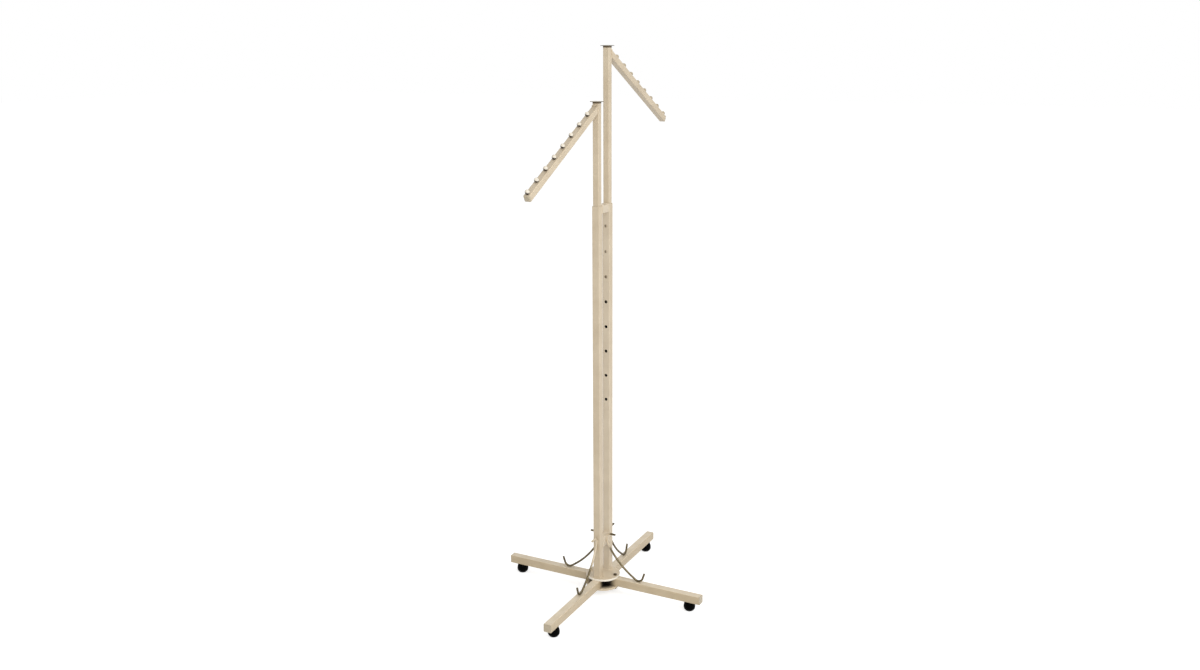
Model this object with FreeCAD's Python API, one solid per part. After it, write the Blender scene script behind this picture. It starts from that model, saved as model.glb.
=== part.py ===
"""Two-way clothes rack: a cross base on levelling feet, a twin-tube column and two
telescoping masts, each with one slanted hanging arm.

The frame stands on the floor: origin on the floor under the column, X along the side
legs, +Y towards the rear mast and its arm, Z up. Everything is in millimetres.
"""
import FreeCAD
import Part
import math
import os

V = FreeCAD.Vector
UP = V(0, 0, 1)

# Levelling feet
foot_height = 28.0
foot_gap = 0.3
foot_pad_diameter = 36.0
foot_pad_top_diameter = 30.0
foot_pad_sole_diameter = 25.0
foot_pad_belly_height = 12.0
foot_inset = 38.0
foot_stem_diameter = 8.0
foot_stem_seat = 8.0
foot_travel = 10.0
foot_nut_height = 6.5
foot_nut_across_flats = 13.0
thread_clearance = 0.05

# Base legs
leg_size = 25.4
leg_wall = 1.5
leg_corner = 2.5
side_leg_reach = 333.0
front_leg_reach = 361.0
leg_butt_gap = 0.5
leg_cap_thickness = 2.5
leg_cap_depth = 12.0
leg_cap_clearance = 0.1
leg_cap_edge = 1.2

# Hub plates and the bolts that clamp the legs between them
hub_diameter = 106.0
hub_plate_thickness = 6.35
hub_plate_edge = 1.2
bolt_diameter = 6.0
bolt_clearance = 0.3
bolt_across_flats = 10.0
bolt_head_height = 4.0
bolt_nut_height = 5.0
bolt_tail = 2.0
washer_diameter = 12.5
washer_thickness = 1.6
side_bolt_radius = 42.0
front_bolt_radius = 30.0

# Column: two square tubes side by side, with spacers between them
column_size = 23.0
column_wall = 1.6
column_corner = 2.0
column_spacing = 66.5
column_length = 1165.5
hole_diameter = 9.5
hole_pitch = 76.2
hole_count = 8
first_hole_drop = 65.5
lower_spacer_height = 31.8
lower_spacer_margin = 1.0
spacer_wall = 1.5

# Masts: square tubes that slide in the column tubes
mast_size = 19.05
mast_wall = 1.2
mast_corner = 2.0
mast_length = 705.0
rear_hole_number = 3
front_hole_number = 5
button_rise = 40.0
mast_hole_diameter = 9.0

# Round caps on top of the masts
cap_diameter = 40.0
cap_edge_thickness = 1.4
cap_crown = 1.2
cap_rim = 0.5
cap_plug_depth = 12.0
cap_clearance = 0.1

# Snap buttons: a leaf spring bent to a V, with the locking button on one leg
clip_thickness = 0.8
clip_width = 10.0
clip_clearance = 0.3
clip_length = 52.0
clip_tail = 14.0
button_diameter = 8.4
button_stand_out = 2.6
button_dome = 1.8

# Hanging arms and their studs
arm_size = 19.05
arm_wall = 1.2
arm_corner = 2.0
arm_slope = 28.0
arm_length = 436.0
arm_drop = 20.5
arm_cap_thickness = 5.0
arm_cap_depth = 14.0
arm_cap_clearance = 0.1
arm_cap_edge = 4.0
stud_count = 8
stud_root_distance = 50.0
stud_tip_distance = 6.5
stud_diameter = 12.7
stud_seat_depth = 0.6

# Bent rods beside the column, one over each leg
rod_diameter = 6.35
rod_gap = 0.05
rod_leg_gap = 0.3
rod_peg_reach = 28.0
rod_peg_bend = 8.0
rod_shank_length = 12.0
rod_shoulder_radius = 40.0
rod_shoulder_angle = 60.0
rod_sweep_radius = 277.0
rod_sweep_end_angle = 32.0
rod_heel_radius = 16.0
rod_tip_angle = 72.0
rod_tip_length = 18.0
rod_end_edge = 0.8

# Heights and places that follow from the sizes above
leg_bottom = foot_height
leg_top = leg_bottom + leg_size
hub_bottom = leg_bottom - hub_plate_thickness
hub_top = leg_top + hub_plate_thickness
column_top = hub_top + column_length
column_gap = column_spacing - column_size
column_y = column_spacing / 2
stud_pitch = (arm_length - stud_root_distance - stud_tip_distance) / (stud_count - 1)
QUARTERS = {"right": 0, "back": 90, "left": 180, "front": 270}


def turned(shape, degrees):
    """The shape turned about the vertical axis of the rack."""
    copy = shape.copy()
    copy.rotate(V(0, 0, 0), UP, degrees)
    return copy


def moved(shape, x=0.0, y=0.0, z=0.0):
    copy = shape.copy()
    copy.translate(V(x, y, z))
    return copy


def cylinder(diameter, length, base=V(0, 0, 0), axis=UP):
    return Part.makeCylinder(diameter / 2, length, base, axis)


def bar(width, depth, length, corner):
    """An upright bar on the axis, with its four long edges rounded."""
    box = Part.makeBox(width, depth, length, V(-width / 2, -depth / 2, 0))
    long_edges = [e for e in box.Edges if abs(e.tangentAt(e.FirstParameter).z) > 0.5]
    return box.makeFillet(corner, long_edges)


def tube(width, depth, wall, length, corner):
    """An upright rectangular tube, open at both ends."""
    bore = bar(width - 2 * wall, depth - 2 * wall, length, corner - wall)
    return bar(width, depth, length, corner).cut(bore)


def laid_along_x(shape, x, z):
    """An upright shape laid down to run from x in the +X direction, centred on height z."""
    copy = shape.copy()
    copy.rotate(V(0, 0, 0), V(0, 1, 0), 90)
    copy.translate(V(x, 0, z))
    return copy


def hex_prism(across_flats, height, base):
    radius = across_flats / math.sqrt(3)
    corners = [
        base + V(radius * math.cos(math.radians(a)), radius * math.sin(math.radians(a)), 0)
        for a in range(0, 361, 60)
    ]
    return Part.Face(Part.makePolygon(corners)).extrude(V(0, 0, height))


def spun(edges):
    """A solid turned about the vertical axis from edges in the XZ plane."""
    return Part.Face(Part.Wire(edges)).revolve(V(0, 0, 0), UP, 360)


def line(a, b):
    return Part.makeLine(a, b)


def arc(a, through, b):
    return Part.Arc(a, through, b).toShape()


def crown(radius, edge_z, rise):
    """The arc of a ball-shaped crown, from its rim up to the axis."""
    ball = (radius**2 + rise**2) / (2 * rise)
    centre_z = edge_z + rise - ball
    half = math.asin(radius / ball) / 2
    halfway = V(ball * math.sin(half), 0, centre_z + ball * math.cos(half))
    return arc(V(radius, 0, edge_z), halfway, V(0, 0, edge_z + rise))


def flank(belly, belly_z, end, end_z):
    """The arc of a barrel's side, from its belly to a narrower end."""
    inward, along = belly - end, end_z - belly_z
    radius = (inward**2 + along**2) / (2 * inward)
    half = math.atan2(along, radius - inward) / 2
    halfway = V(belly - radius + radius * math.cos(half), 0, belly_z + radius * math.sin(half))
    return arc(V(belly, 0, belly_z), halfway, V(end, 0, end_z))


def domed_disc(diameter, edge_thickness, rise):
    """A round disc standing on the origin, with a ball-shaped crown on top."""
    radius = diameter / 2
    outline = [
        line(V(0, 0, edge_thickness + rise), V(0, 0, 0)),
        line(V(0, 0, 0), V(radius, 0, 0)),
        line(V(radius, 0, 0), V(radius, 0, edge_thickness)),
        crown(radius, edge_thickness, rise),
    ]
    return spun(outline)


def rims_at(shape, *centres):
    """The round edges of a shape that are centred on any of the points."""
    return [e for e in shape.Edges if any(e.CenterOfMass.isEqual(c, 1e-4) for c in centres)]


def hub_plate(bottom, holes):
    """A round plate with rounded rims and clearance holes for the clamping bolts."""
    plate = cylinder(hub_diameter, hub_plate_thickness, V(0, 0, bottom))
    rims = [e for e in plate.Edges if isinstance(e.Curve, Part.Circle)]
    plate = plate.makeFillet(hub_plate_edge, rims)
    for x, y in holes:
        plate = plate.cut(bolt_hole(x, y, bottom, hub_plate_thickness))
    return plate


def bolt_hole(x, y, bottom, depth):
    return cylinder(bolt_diameter + 2 * bolt_clearance, depth, V(x, y, bottom))


def hub_washer(x, y):
    bottom = hub_bottom - washer_thickness
    ring = cylinder(washer_diameter, washer_thickness, V(x, y, bottom))
    return ring.cut(bolt_hole(x, y, bottom, washer_thickness))


def hex_bolt(x, y, shank_bottom, shank_top, head_bottom):
    shank = cylinder(bolt_diameter, shank_top - shank_bottom, V(x, y, shank_bottom))
    head = hex_prism(bolt_across_flats, bolt_head_height, V(x, y, head_bottom))
    return shank.fuse(head).removeSplitter()


def side_bolt(x, y):
    """A bolt down through both plates and a side leg, with its nut underneath."""
    nut_bottom = hub_bottom - washer_thickness - bolt_nut_height
    return hex_bolt(x, y, nut_bottom - bolt_tail, hub_top, hub_top)


def front_bolt(x, y):
    """A bolt up through the lower plate into the nut on a front or back leg's floor."""
    washer_bottom = hub_bottom - washer_thickness
    shank_top = leg_bottom + leg_wall + bolt_nut_height + bolt_tail
    return hex_bolt(x, y, washer_bottom, shank_top, washer_bottom - bolt_head_height)


def nut(across_flats, height, thread_diameter, base):
    bore = cylinder(thread_diameter + 2 * thread_clearance, height, base)
    return hex_prism(across_flats, height, base).cut(bore)


def hub_nut(x, y, bottom):
    return nut(bolt_across_flats, bolt_nut_height, bolt_diameter, V(x, y, bottom))


def leg(start, reach, bolt_radius, bolt_depth):
    """A leg tube along +X, drilled from below for its clamping bolt and for the foot's stem."""
    length = reach - leg_cap_thickness - start
    shape = tube(leg_size, leg_size, leg_wall, length, leg_corner)
    shape = laid_along_x(shape, start, leg_bottom + leg_size / 2)
    shape = shape.cut(bolt_hole(bolt_radius, 0, leg_bottom, bolt_depth))
    stem_hole = foot_stem_diameter + 2 * bolt_clearance
    return shape.cut(cylinder(stem_hole, leg_wall, V(reach - foot_inset, 0, leg_bottom)))


def leg_cap(reach):
    """A plug pressed into a leg's open end, with a plate that covers the end."""
    plate = bar(leg_size, leg_size, leg_cap_thickness, leg_corner)
    outer_rim = [e for e in plate.Edges if abs(e.CenterOfMass.z - leg_cap_thickness) < 1e-6]
    plate = plate.makeFillet(leg_cap_edge, outer_rim)
    plug_size = leg_size - 2 * leg_wall - 2 * leg_cap_clearance
    plug = bar(plug_size, plug_size, leg_cap_depth, leg_corner)
    shape = plate.fuse(moved(plug, z=-leg_cap_depth)).removeSplitter()
    return laid_along_x(shape, reach - leg_cap_thickness, leg_bottom + leg_size / 2)


def foot_nut(reach):
    base = V(reach - foot_inset, 0, leg_bottom + leg_wall)
    return nut(foot_nut_across_flats, foot_nut_height, foot_stem_diameter, base)


def foot_stem(reach):
    """The foot's screw, long enough to stay in its nut when the foot is wound out."""
    nut_top = leg_bottom + leg_wall + foot_nut_height
    top = nut_top + foot_travel + foot_gap
    shape = cylinder(foot_stem_diameter, top - foot_stem_seat)
    tips = [e for e in shape.Edges if abs(e.CenterOfMass.z - (top - foot_stem_seat)) < 1e-6]
    shape = shape.makeChamfer(foot_stem_diameter / 10, tips)
    return moved(shape, reach - foot_inset, 0, foot_stem_seat)


def foot_pad(reach):
    """A round moulded pad that bellies out between a small sole and a small top."""
    top = foot_height - foot_gap
    sole, belly, head = (
        d / 2 for d in (foot_pad_sole_diameter, foot_pad_diameter, foot_pad_top_diameter)
    )
    bore = foot_stem_diameter / 2 + thread_clearance
    bore_floor = foot_stem_seat - foot_gap
    outline = [
        line(V(0, 0, bore_floor), V(0, 0, 0)),
        line(V(0, 0, 0), V(sole, 0, 0)),
        flank(belly, foot_pad_belly_height, sole, 0),
        flank(belly, foot_pad_belly_height, head, top),
        line(V(head, 0, top), V(bore, 0, top)),
        line(V(bore, 0, top), V(bore, 0, bore_floor)),
        line(V(bore, 0, bore_floor), V(0, 0, bore_floor)),
    ]
    return moved(spun(outline), reach - foot_inset)


def hole_height(number):
    """Height of a column hole, counted down from the top of the column."""
    return column_top - first_hole_drop - (number - 1) * hole_pitch


def column_tube():
    """The rear column tube, with its row of holes on the face towards the other tube."""
    shape = tube(column_size, column_size, column_wall, column_length, column_corner)
    shape = moved(shape, 0, column_y, hub_top)
    inner_face = column_y - column_size / 2
    for number in range(1, hole_count + 1):
        start = V(0, inner_face - column_wall, hole_height(number))
        shape = shape.cut(cylinder(hole_diameter, 3 * column_wall, start, V(0, 1, 0)))
    return shape


def spacer(height, bottom):
    """A short tube welded across between the two column tubes."""
    shape = tube(column_size, height, spacer_wall, column_gap, column_corner)
    shape.rotate(V(0, 0, 0), V(1, 0, 0), 90)
    return moved(shape, 0, column_gap / 2, bottom + height / 2)


def rod_fall():
    """How far the rod drops from the end of its shank to its lowest point."""
    shoulder, sweep = (math.radians(a) for a in (rod_shoulder_angle, rod_sweep_end_angle))
    return (
        rod_shoulder_radius * math.cos(shoulder)
        + rod_sweep_radius * (math.cos(sweep) - math.cos(shoulder))
        + rod_heel_radius * (1 - math.cos(sweep))
    )


rod_low = leg_top + rod_leg_gap + rod_diameter / 2
rod_shank_bottom = rod_low + rod_fall()
lower_spacer_top = rod_shank_bottom + rod_shank_length + lower_spacer_margin


class RodPath:
    """Straight runs and tangent bends laid end to end in the XZ plane."""

    def __init__(self, start, heading):
        self.point = start
        self.heading = heading
        self.edges = []

    def direction(self, degrees):
        a = math.radians(degrees)
        return V(math.cos(a), 0, math.sin(a))

    def straight(self, length):
        end = self.point + self.direction(self.heading) * length
        self.edges.append(line(self.point, end))
        self.point = end

    def bend(self, degrees, radius):
        """Turns anticlockwise, seen with X to the right and Z up."""
        centre = self.point + self.direction(self.heading + 90) * radius
        halfway = centre + self.direction(self.heading - 90 + degrees / 2) * radius
        end = centre + self.direction(self.heading - 90 + degrees) * radius
        self.edges.append(arc(self.point, halfway, end))
        self.point = end
        self.heading += degrees


def rod(face_x):
    """A bent rod on a face at x, with a peg at the top and a heel over the leg."""
    shank_x = face_x + rod_gap + rod_diameter / 2
    peg_z = rod_shank_bottom + rod_shank_length + rod_peg_bend
    start = V(shank_x + rod_peg_reach, 0, peg_z)
    path = RodPath(start, 180)
    path.straight(rod_peg_reach - rod_peg_bend)
    path.bend(90, rod_peg_bend)
    path.straight(rod_shank_length)
    path.bend(90 - rod_shoulder_angle, rod_shoulder_radius)
    path.bend(rod_shoulder_angle - rod_sweep_end_angle, rod_sweep_radius)
    path.bend(rod_sweep_end_angle + rod_tip_angle, rod_heel_radius)
    path.straight(rod_tip_length)
    section = Part.Wire([Part.makeCircle(rod_diameter / 2, start, V(1, 0, 0))])
    shape = Part.Wire(path.edges).makePipeShell([section], True, True)
    return shape.makeFillet(rod_end_edge, rims_at(shape, start, path.point))


def mast(number):
    """A mast tube locked at a column hole, drilled near its foot for the snap button."""
    bottom = hole_height(number) - button_rise
    shape = tube(mast_size, mast_size, mast_wall, mast_length, mast_corner)
    shape = moved(shape, 0, column_y, bottom)
    start = V(0, column_y - mast_size / 2 - mast_wall, hole_height(number))
    return shape.cut(cylinder(mast_hole_diameter, 3 * mast_wall, start, V(0, 1, 0)))


def mast_top(number):
    return hole_height(number) - button_rise + mast_length


def mast_cap(number):
    """A round crowned cap with a square plug that goes into the mast."""
    plug_size = mast_size - 2 * mast_wall - 2 * cap_clearance
    plug = bar(plug_size, plug_size, cap_plug_depth, mast_corner)
    disc = domed_disc(cap_diameter, cap_edge_thickness, cap_crown)
    disc = disc.makeFillet(cap_rim, rims_at(disc, V(0, 0, 0), V(0, 0, cap_edge_thickness)))
    shape = disc.fuse(moved(plug, z=-cap_plug_depth)).removeSplitter()
    return moved(shape, 0, column_y, mast_top(number))


def ribbon(points, thickness):
    """A flat strip of even thickness whose middle line runs through the points (y, z)."""
    sides = ([], [])
    for i, (y, z) in enumerate(points):
        before, after = points[max(i - 1, 0)], points[min(i + 1, len(points) - 1)]
        into = math.atan2(z - before[1], y - before[0]) if i else None
        out = math.atan2(after[1] - z, after[0] - y) if i < len(points) - 1 else None
        heading = into if out is None else out if into is None else (into + out) / 2
        half_turn = 0.0 if into is None or out is None else (out - into) / 2
        reach = thickness / 2 / math.cos(half_turn)
        offset = (-math.sin(heading) * reach, math.cos(heading) * reach)
        sides[0].append(V(0, y + offset[0], z + offset[1]))
        sides[1].append(V(0, y - offset[0], z - offset[1]))
    outline = sides[0] + sides[1][::-1]
    return Part.Face(Part.makePolygon(outline + outline[:1]))


def snap_clip(number):
    """The V spring inside the mast and its button, which stands out through both tubes."""
    height = hole_height(number)
    bore_half = mast_size / 2 - mast_wall
    leaf = bore_half - clip_clearance - clip_thickness / 2
    bend = clip_thickness * 2
    points = [
        (-leaf, -clip_tail),
        (-leaf, button_diameter),
        (-bend, clip_length),
        (0.0, clip_length + bend / 2),
        (bend, clip_length),
        (leaf, button_diameter),
        (leaf - clip_thickness, 0.0),
    ]
    strip = ribbon(points, clip_thickness).extrude(V(clip_width, 0, 0))
    strip = moved(strip, -clip_width / 2, column_y, height)
    tip = column_y - column_size / 2 - button_stand_out
    root = column_y - leaf
    radius = button_diameter / 2
    shoulder = root - tip - button_dome
    outline = [
        line(V(0, 0, root - tip), V(0, 0, 0)),
        line(V(0, 0, 0), V(radius, 0, 0)),
        line(V(radius, 0, 0), V(radius, 0, shoulder)),
        crown(radius, shoulder, button_dome),
    ]
    button = spun(outline)
    button.rotate(V(0, 0, 0), V(1, 0, 0), 90)
    return strip.fuse(moved(button, 0, root, height)).removeSplitter()


def on_arm(shape, number):
    """Puts a shape made along +X, with Z as the arm's upper side, on the rear mast's arm."""
    copy = shape.copy()
    copy.rotate(V(0, 0, 0), V(0, 1, 0), arm_slope)
    copy.rotate(V(0, 0, 0), UP, 90)
    copy.translate(V(0, column_y + mast_size / 2, mast_top(number) - arm_drop))
    return copy


def arm(number):
    """The arm's tube, its root mitred to lie against the mast's outer face."""
    root_spare = arm_size
    shape = tube(arm_size, arm_size, arm_wall, arm_length + root_spare, arm_corner)
    shape = on_arm(laid_along_x(shape, -root_spare, 0), number)
    side = 4 * arm_size
    face_y = column_y + mast_size / 2
    corner = V(-side / 2, face_y - side, mast_top(number) - arm_drop - side)
    return shape.cut(Part.makeBox(side, side, 2 * side, corner))


def arm_cap(number):
    """A plug with a well rounded end plate, pressed into the arm's tip."""
    plate = bar(arm_size, arm_size, arm_cap_thickness, arm_corner)
    outer_rim = [e for e in plate.Edges if abs(e.CenterOfMass.z - arm_cap_thickness) < 1e-6]
    plate = plate.makeFillet(arm_cap_edge, outer_rim)
    plug_size = arm_size - 2 * arm_wall - 2 * arm_cap_clearance
    plug = bar(plug_size, plug_size, arm_cap_depth, arm_corner)
    shape = plate.fuse(moved(plug, z=-arm_cap_depth)).removeSplitter()
    return on_arm(laid_along_x(shape, arm_length, 0), number)


def stud():
    """A ball standing on the origin, its foot flattened where it is welded to the arm."""
    radius = stud_diameter / 2
    middle = radius - stud_seat_depth
    seat = math.sqrt(radius**2 - middle**2)
    outline = [
        line(V(0, 0, middle + radius), V(0, 0, 0)),
        line(V(0, 0, 0), V(seat, 0, 0)),
        arc(V(seat, 0, 0), V(radius, 0, middle), V(0, 0, middle + radius)),
    ]
    return spun(outline)


def arm_studs(number):
    row = [
        on_arm(moved(stud(), stud_root_distance + i * stud_pitch, 0, arm_size / 2), number)
        for i in range(stud_count)
    ]
    return Part.makeCompound(row)


def base_nodes():
    sides = [(side_bolt_radius, 0.0), (-side_bolt_radius, 0.0)]
    ends = [(0.0, front_bolt_radius), (0.0, -front_bolt_radius)]
    bolts = [side_bolt(x, y) for x, y in sides] + [front_bolt(x, y) for x, y in ends]
    outer_nut_bottom = hub_bottom - washer_thickness - bolt_nut_height
    nuts = [hub_nut(x, y, outer_nut_bottom) for x, y in sides]
    nuts += [hub_nut(x, y, leg_bottom + leg_wall) for x, y in ends]
    nodes = {
        "hub_top_plate": hub_plate(leg_top, sides),
        "hub_bottom_plate": hub_plate(hub_bottom, sides + ends),
        "hub_bolts": Part.makeCompound(bolts),
        "hub_washers": Part.makeCompound([hub_washer(x, y) for x, y in sides + ends]),
        "hub_nuts": Part.makeCompound(nuts),
        "column_tube_rear": column_tube(),
        "column_tube_front": turned(column_tube(), 180),
        "top_spacer": spacer(column_size, column_top - column_size),
        "lower_spacer": spacer(lower_spacer_height, lower_spacer_top - lower_spacer_height),
    }
    weld_nuts = []
    for name, angle in QUARTERS.items():
        sideways = name in ("left", "right")
        start = leg_size / 2 + leg_butt_gap if sideways else leg_butt_gap
        reach = side_leg_reach if sideways else front_leg_reach
        bolt_radius = side_bolt_radius if sideways else front_bolt_radius
        bolt_depth = leg_size if sideways else leg_wall
        rod_face = column_size / 2 if sideways else column_y + column_size / 2
        nodes["leg_" + name] = turned(leg(start, reach, bolt_radius, bolt_depth), angle)
        nodes["leg_cap_" + name] = turned(leg_cap(reach), angle)
        nodes["bent_rod_" + name] = turned(rod(rod_face), angle)
        nodes["foot_stem_" + name] = turned(foot_stem(reach), angle)
        nodes["foot_pad_" + name] = turned(foot_pad(reach), angle)
        weld_nuts.append(turned(foot_nut(reach), angle))
    nodes["foot_nuts"] = Part.makeCompound(weld_nuts)
    return nodes


def mast_nodes(name, number, angle):
    made = {
        "mast_": mast(number),
        "mast_cap_": mast_cap(number),
        "snap_clip_": snap_clip(number),
        "arm_": arm(number),
        "arm_cap_": arm_cap(number),
        "arm_studs_": arm_studs(number),
    }
    return {key + name: turned(shape, angle) for key, shape in made.items()}


nodes = base_nodes()
nodes.update(mast_nodes("rear", rear_hole_number, 0))
nodes.update(mast_nodes("front", front_hole_number, 180))

os.makedirs("parts", exist_ok=True)
for node, shape in nodes.items():
    shape.exportStep("parts/" + node + ".step")
    state = "valid" if shape.isValid() else "NOT VALID"
    print(node, len(shape.Solids), "solids", state, round(shape.Volume, 1))
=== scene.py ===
"""Looks of a free-standing two-way clothes rack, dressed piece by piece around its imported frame."""
import bmesh
import bpy
import math
from mathutils import Matrix, Vector


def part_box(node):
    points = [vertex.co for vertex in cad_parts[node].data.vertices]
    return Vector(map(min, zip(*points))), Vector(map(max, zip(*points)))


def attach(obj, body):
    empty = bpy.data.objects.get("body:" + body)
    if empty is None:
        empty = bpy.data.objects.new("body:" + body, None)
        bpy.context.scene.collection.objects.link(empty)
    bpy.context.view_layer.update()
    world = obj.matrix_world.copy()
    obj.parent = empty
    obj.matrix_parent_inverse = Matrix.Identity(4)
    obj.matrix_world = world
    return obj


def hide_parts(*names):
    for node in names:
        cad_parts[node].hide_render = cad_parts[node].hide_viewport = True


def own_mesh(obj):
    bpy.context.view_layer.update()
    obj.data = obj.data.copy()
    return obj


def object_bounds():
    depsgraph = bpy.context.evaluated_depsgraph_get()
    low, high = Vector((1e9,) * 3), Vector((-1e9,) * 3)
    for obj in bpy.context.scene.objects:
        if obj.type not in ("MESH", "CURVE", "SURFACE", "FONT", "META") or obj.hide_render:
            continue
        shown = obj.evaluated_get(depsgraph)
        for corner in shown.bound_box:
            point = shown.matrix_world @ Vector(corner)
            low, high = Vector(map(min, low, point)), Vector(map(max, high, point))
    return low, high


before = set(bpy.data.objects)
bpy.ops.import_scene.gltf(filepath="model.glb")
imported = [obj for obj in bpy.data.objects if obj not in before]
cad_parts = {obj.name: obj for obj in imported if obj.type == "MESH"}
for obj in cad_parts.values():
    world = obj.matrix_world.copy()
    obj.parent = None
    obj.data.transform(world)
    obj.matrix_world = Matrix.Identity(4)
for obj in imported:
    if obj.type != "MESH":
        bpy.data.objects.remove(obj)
cad_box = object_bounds()
scene = bpy.context.scene


# Levelling foot pads
# Black moulded pads, one under each leg's end. They belly out above a small sole and draw
# in again at the top, and a shallow dish in the sole leaves a ring that stands on the floor.
SIDES = ("right", "back", "left", "front")
pad_low, pad_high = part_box("foot_pad_right")
pad_belly = (pad_high.x - pad_low.x) / 2
pad_height = pad_high.z
pad_belly_height = 0.012
pad_sole = 0.0125
pad_sole_edge = 0.0012
pad_dish = 0.0095
pad_dish_depth = 0.0014
pad_top = 0.015
pad_top_edge = 0.0014
pad_bore = 0.00405
pad_bore_floor = 0.0056


def tint(red, green, blue):
    """A colour given in screen steps from 0 to 255, as the shaders take it."""
    steps = [c / 255 for c in (red, green, blue)]
    return (*[c / 12.92 if c <= 0.04045 else ((c + 0.055) / 1.055) ** 2.4 for c in steps], 1.0)


def add(tree, kind, sockets=None, **settings):
    """A new node with its settings, each named socket set to a value or fed by another socket."""
    made = tree.nodes.new(kind)
    for name, value in settings.items():
        setattr(made, name, value)
    for name, value in (sockets or {}).items():
        if isinstance(value, bpy.types.NodeSocket):
            tree.links.new(value, made.inputs[name])
        else:
            made.inputs[name].default_value = value
    return made


def new_group(name, kind, inputs, outputs):
    """A node group, with its input node's outputs and its output node's inputs."""
    tree = bpy.data.node_groups.new(name, kind)
    for label, socket in inputs.items():
        tree.interface.new_socket(label, in_out="INPUT", socket_type=socket)
    for label, socket in outputs.items():
        tree.interface.new_socket(label, in_out="OUTPUT", socket_type=socket)
    return tree, add(tree, "NodeGroupInput").outputs, add(tree, "NodeGroupOutput").inputs


def math_node(tree, operation, a, b=0.0):
    return add(tree, "ShaderNodeMath", {0: a, 1: b}, operation=operation).outputs[0]


def product(tree, first, *others):
    for other in others:
        first = math_node(tree, "MULTIPLY", first, other)
    return first


def band(tree, value, low, high):
    """0 below low, 1 above high and a smooth step between them."""
    sockets = {0: value, 1: low, 2: high}
    return add(tree, "ShaderNodeMapRange", sockets, interpolation_type="SMOOTHSTEP").outputs[0]


def mixed(tree, factor, a, b):
    """Colour a going over to colour b."""
    return add(tree, "ShaderNodeMix", {0: factor, 6: a, 7: b}, data_type="RGBA").outputs[2]


def spread(tree, factor, a, b):
    """A number going over from a to b."""
    return add(tree, "ShaderNodeMapRange", {0: factor, 3: a, 4: b}).outputs[0]


def noise(tree, vector, scale, detail=2.0):
    sockets = {"Vector": vector, "Scale": scale, "Detail": detail}
    return add(tree, "ShaderNodeTexNoise", sockets).outputs["Fac"]


def place_on_piece(tree):
    return add(tree, "ShaderNodeTexCoord").outputs["Object"]


def facing_up(tree):
    """1 on faces that look up, 0 on upright ones and -1 on those that look down."""
    normal = add(tree, "ShaderNodeNewGeometry").outputs["Normal"]
    return add(tree, "ShaderNodeSeparateXYZ", {0: normal}).outputs["Z"]


def new_material(name):
    """A material with its node tree and its one shader."""
    material = bpy.data.materials.new(name)
    material.use_nodes = True
    tree = material.node_tree
    return material, tree, tree.nodes["Principled BSDF"]


def effect(tree, group, **values):
    """The outputs of a shared effect, placed in a material with its own values."""
    return add(tree, "ShaderNodeGroup", values, node_tree=group).outputs


def feed(tree, shader, **sockets):
    """Sets or links sockets of the shader, written with _ for a blank."""
    for name, value in sockets.items():
        socket = shader.inputs[name.replace("_", " ")]
        if isinstance(value, bpy.types.NodeSocket):
            tree.links.new(value, socket)
        else:
            socket.default_value = value


grains_in_blotch = 40.0
blotch_edge = (0.3, 0.7)


def grain_group():
    """Fine moulded grain or orange peel: a bumpy height of a given grain size, and blotches."""
    tree, given, out = new_group(
        "surface_grain",
        "ShaderNodeTree",
        {"Grain": "NodeSocketFloat", "Depth": "NodeSocketFloat"},
        {"Height": "NodeSocketFloat", "Blotch": "NodeSocketFloat"},
    )
    place = place_on_piece(tree)
    fine = noise(tree, place, given["Grain"], detail=3.0)
    blotch_scale = math_node(tree, "DIVIDE", given["Grain"], grains_in_blotch)
    broad = noise(tree, place, blotch_scale, detail=3.0)
    tree.links.new(product(tree, fine, given["Depth"]), out["Height"])
    tree.links.new(band(tree, broad, *blotch_edge), out["Blotch"])
    return tree


surface_grain = grain_group()
dust_slope = (0.55, 0.95)
dust_patch_scale = 34.0
dust_patch_edge = (0.3, 0.75)
dust_least_cover = 0.6


def dust_group():
    """Dust that settles on faces that look up, in patches."""
    tree, given, out = new_group(
        "settled_dust",
        "ShaderNodeTree",
        {"Amount": "NodeSocketFloat"},
        {"Mask": "NodeSocketFloat"},
    )
    upward = band(tree, facing_up(tree), *dust_slope)
    patches = noise(tree, place_on_piece(tree), dust_patch_scale, detail=6.0)
    cover = spread(tree, band(tree, patches, *dust_patch_edge), dust_least_cover, 1.0)
    tree.links.new(product(tree, upward, cover, given["Amount"]), out["Mask"])
    return tree


settled_dust = dust_group()
dust_colour = tint(220, 206, 182)
# Dark brown for painted shade on plastic.
rim_shade_colour = tint(64, 57, 45)
bump_distance = 0.001
roughness_swing = 0.05


def bumped(tree, height):
    sockets = {"Height": height, "Distance": bump_distance}
    return add(tree, "ShaderNodeBump", sockets).outputs[0]


def moulded_plastic(name, shades, grain, depth, roughness, dust, gloss=0.5, rim_shade=None):
    """Moulded plastic: two close shades in blotches, a fine grain and a little dust. A mask may
    add painted shade in dark brown."""
    material, tree, shader = new_material(name)
    skin = effect(tree, surface_grain, Grain=grain, Depth=depth)
    settled = effect(tree, settled_dust, Amount=dust)
    base = mixed(tree, skin["Blotch"], *shades)
    base = mixed(tree, settled["Mask"], base, dust_colour)
    if rim_shade:
        base = mixed(tree, rim_shade(tree), base, rim_shade_colour)
    smoothest, roughest = roughness - roughness_swing, roughness + roughness_swing
    feed(
        tree,
        shader,
        Base_Color=base,
        Roughness=spread(tree, skin["Blotch"], smoothest, roughest),
        Normal=bumped(tree, skin["Height"]),
        Specular_IOR_Level=gloss,
    )
    return material


black_plastic = moulded_plastic(
    "black_foot_plastic",
    (tint(1, 1, 1), tint(3, 3, 3)),
    grain=2600.0,
    depth=0.03,
    roughness=0.3,
    dust=0.0,
    gloss=0.025,
)


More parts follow.
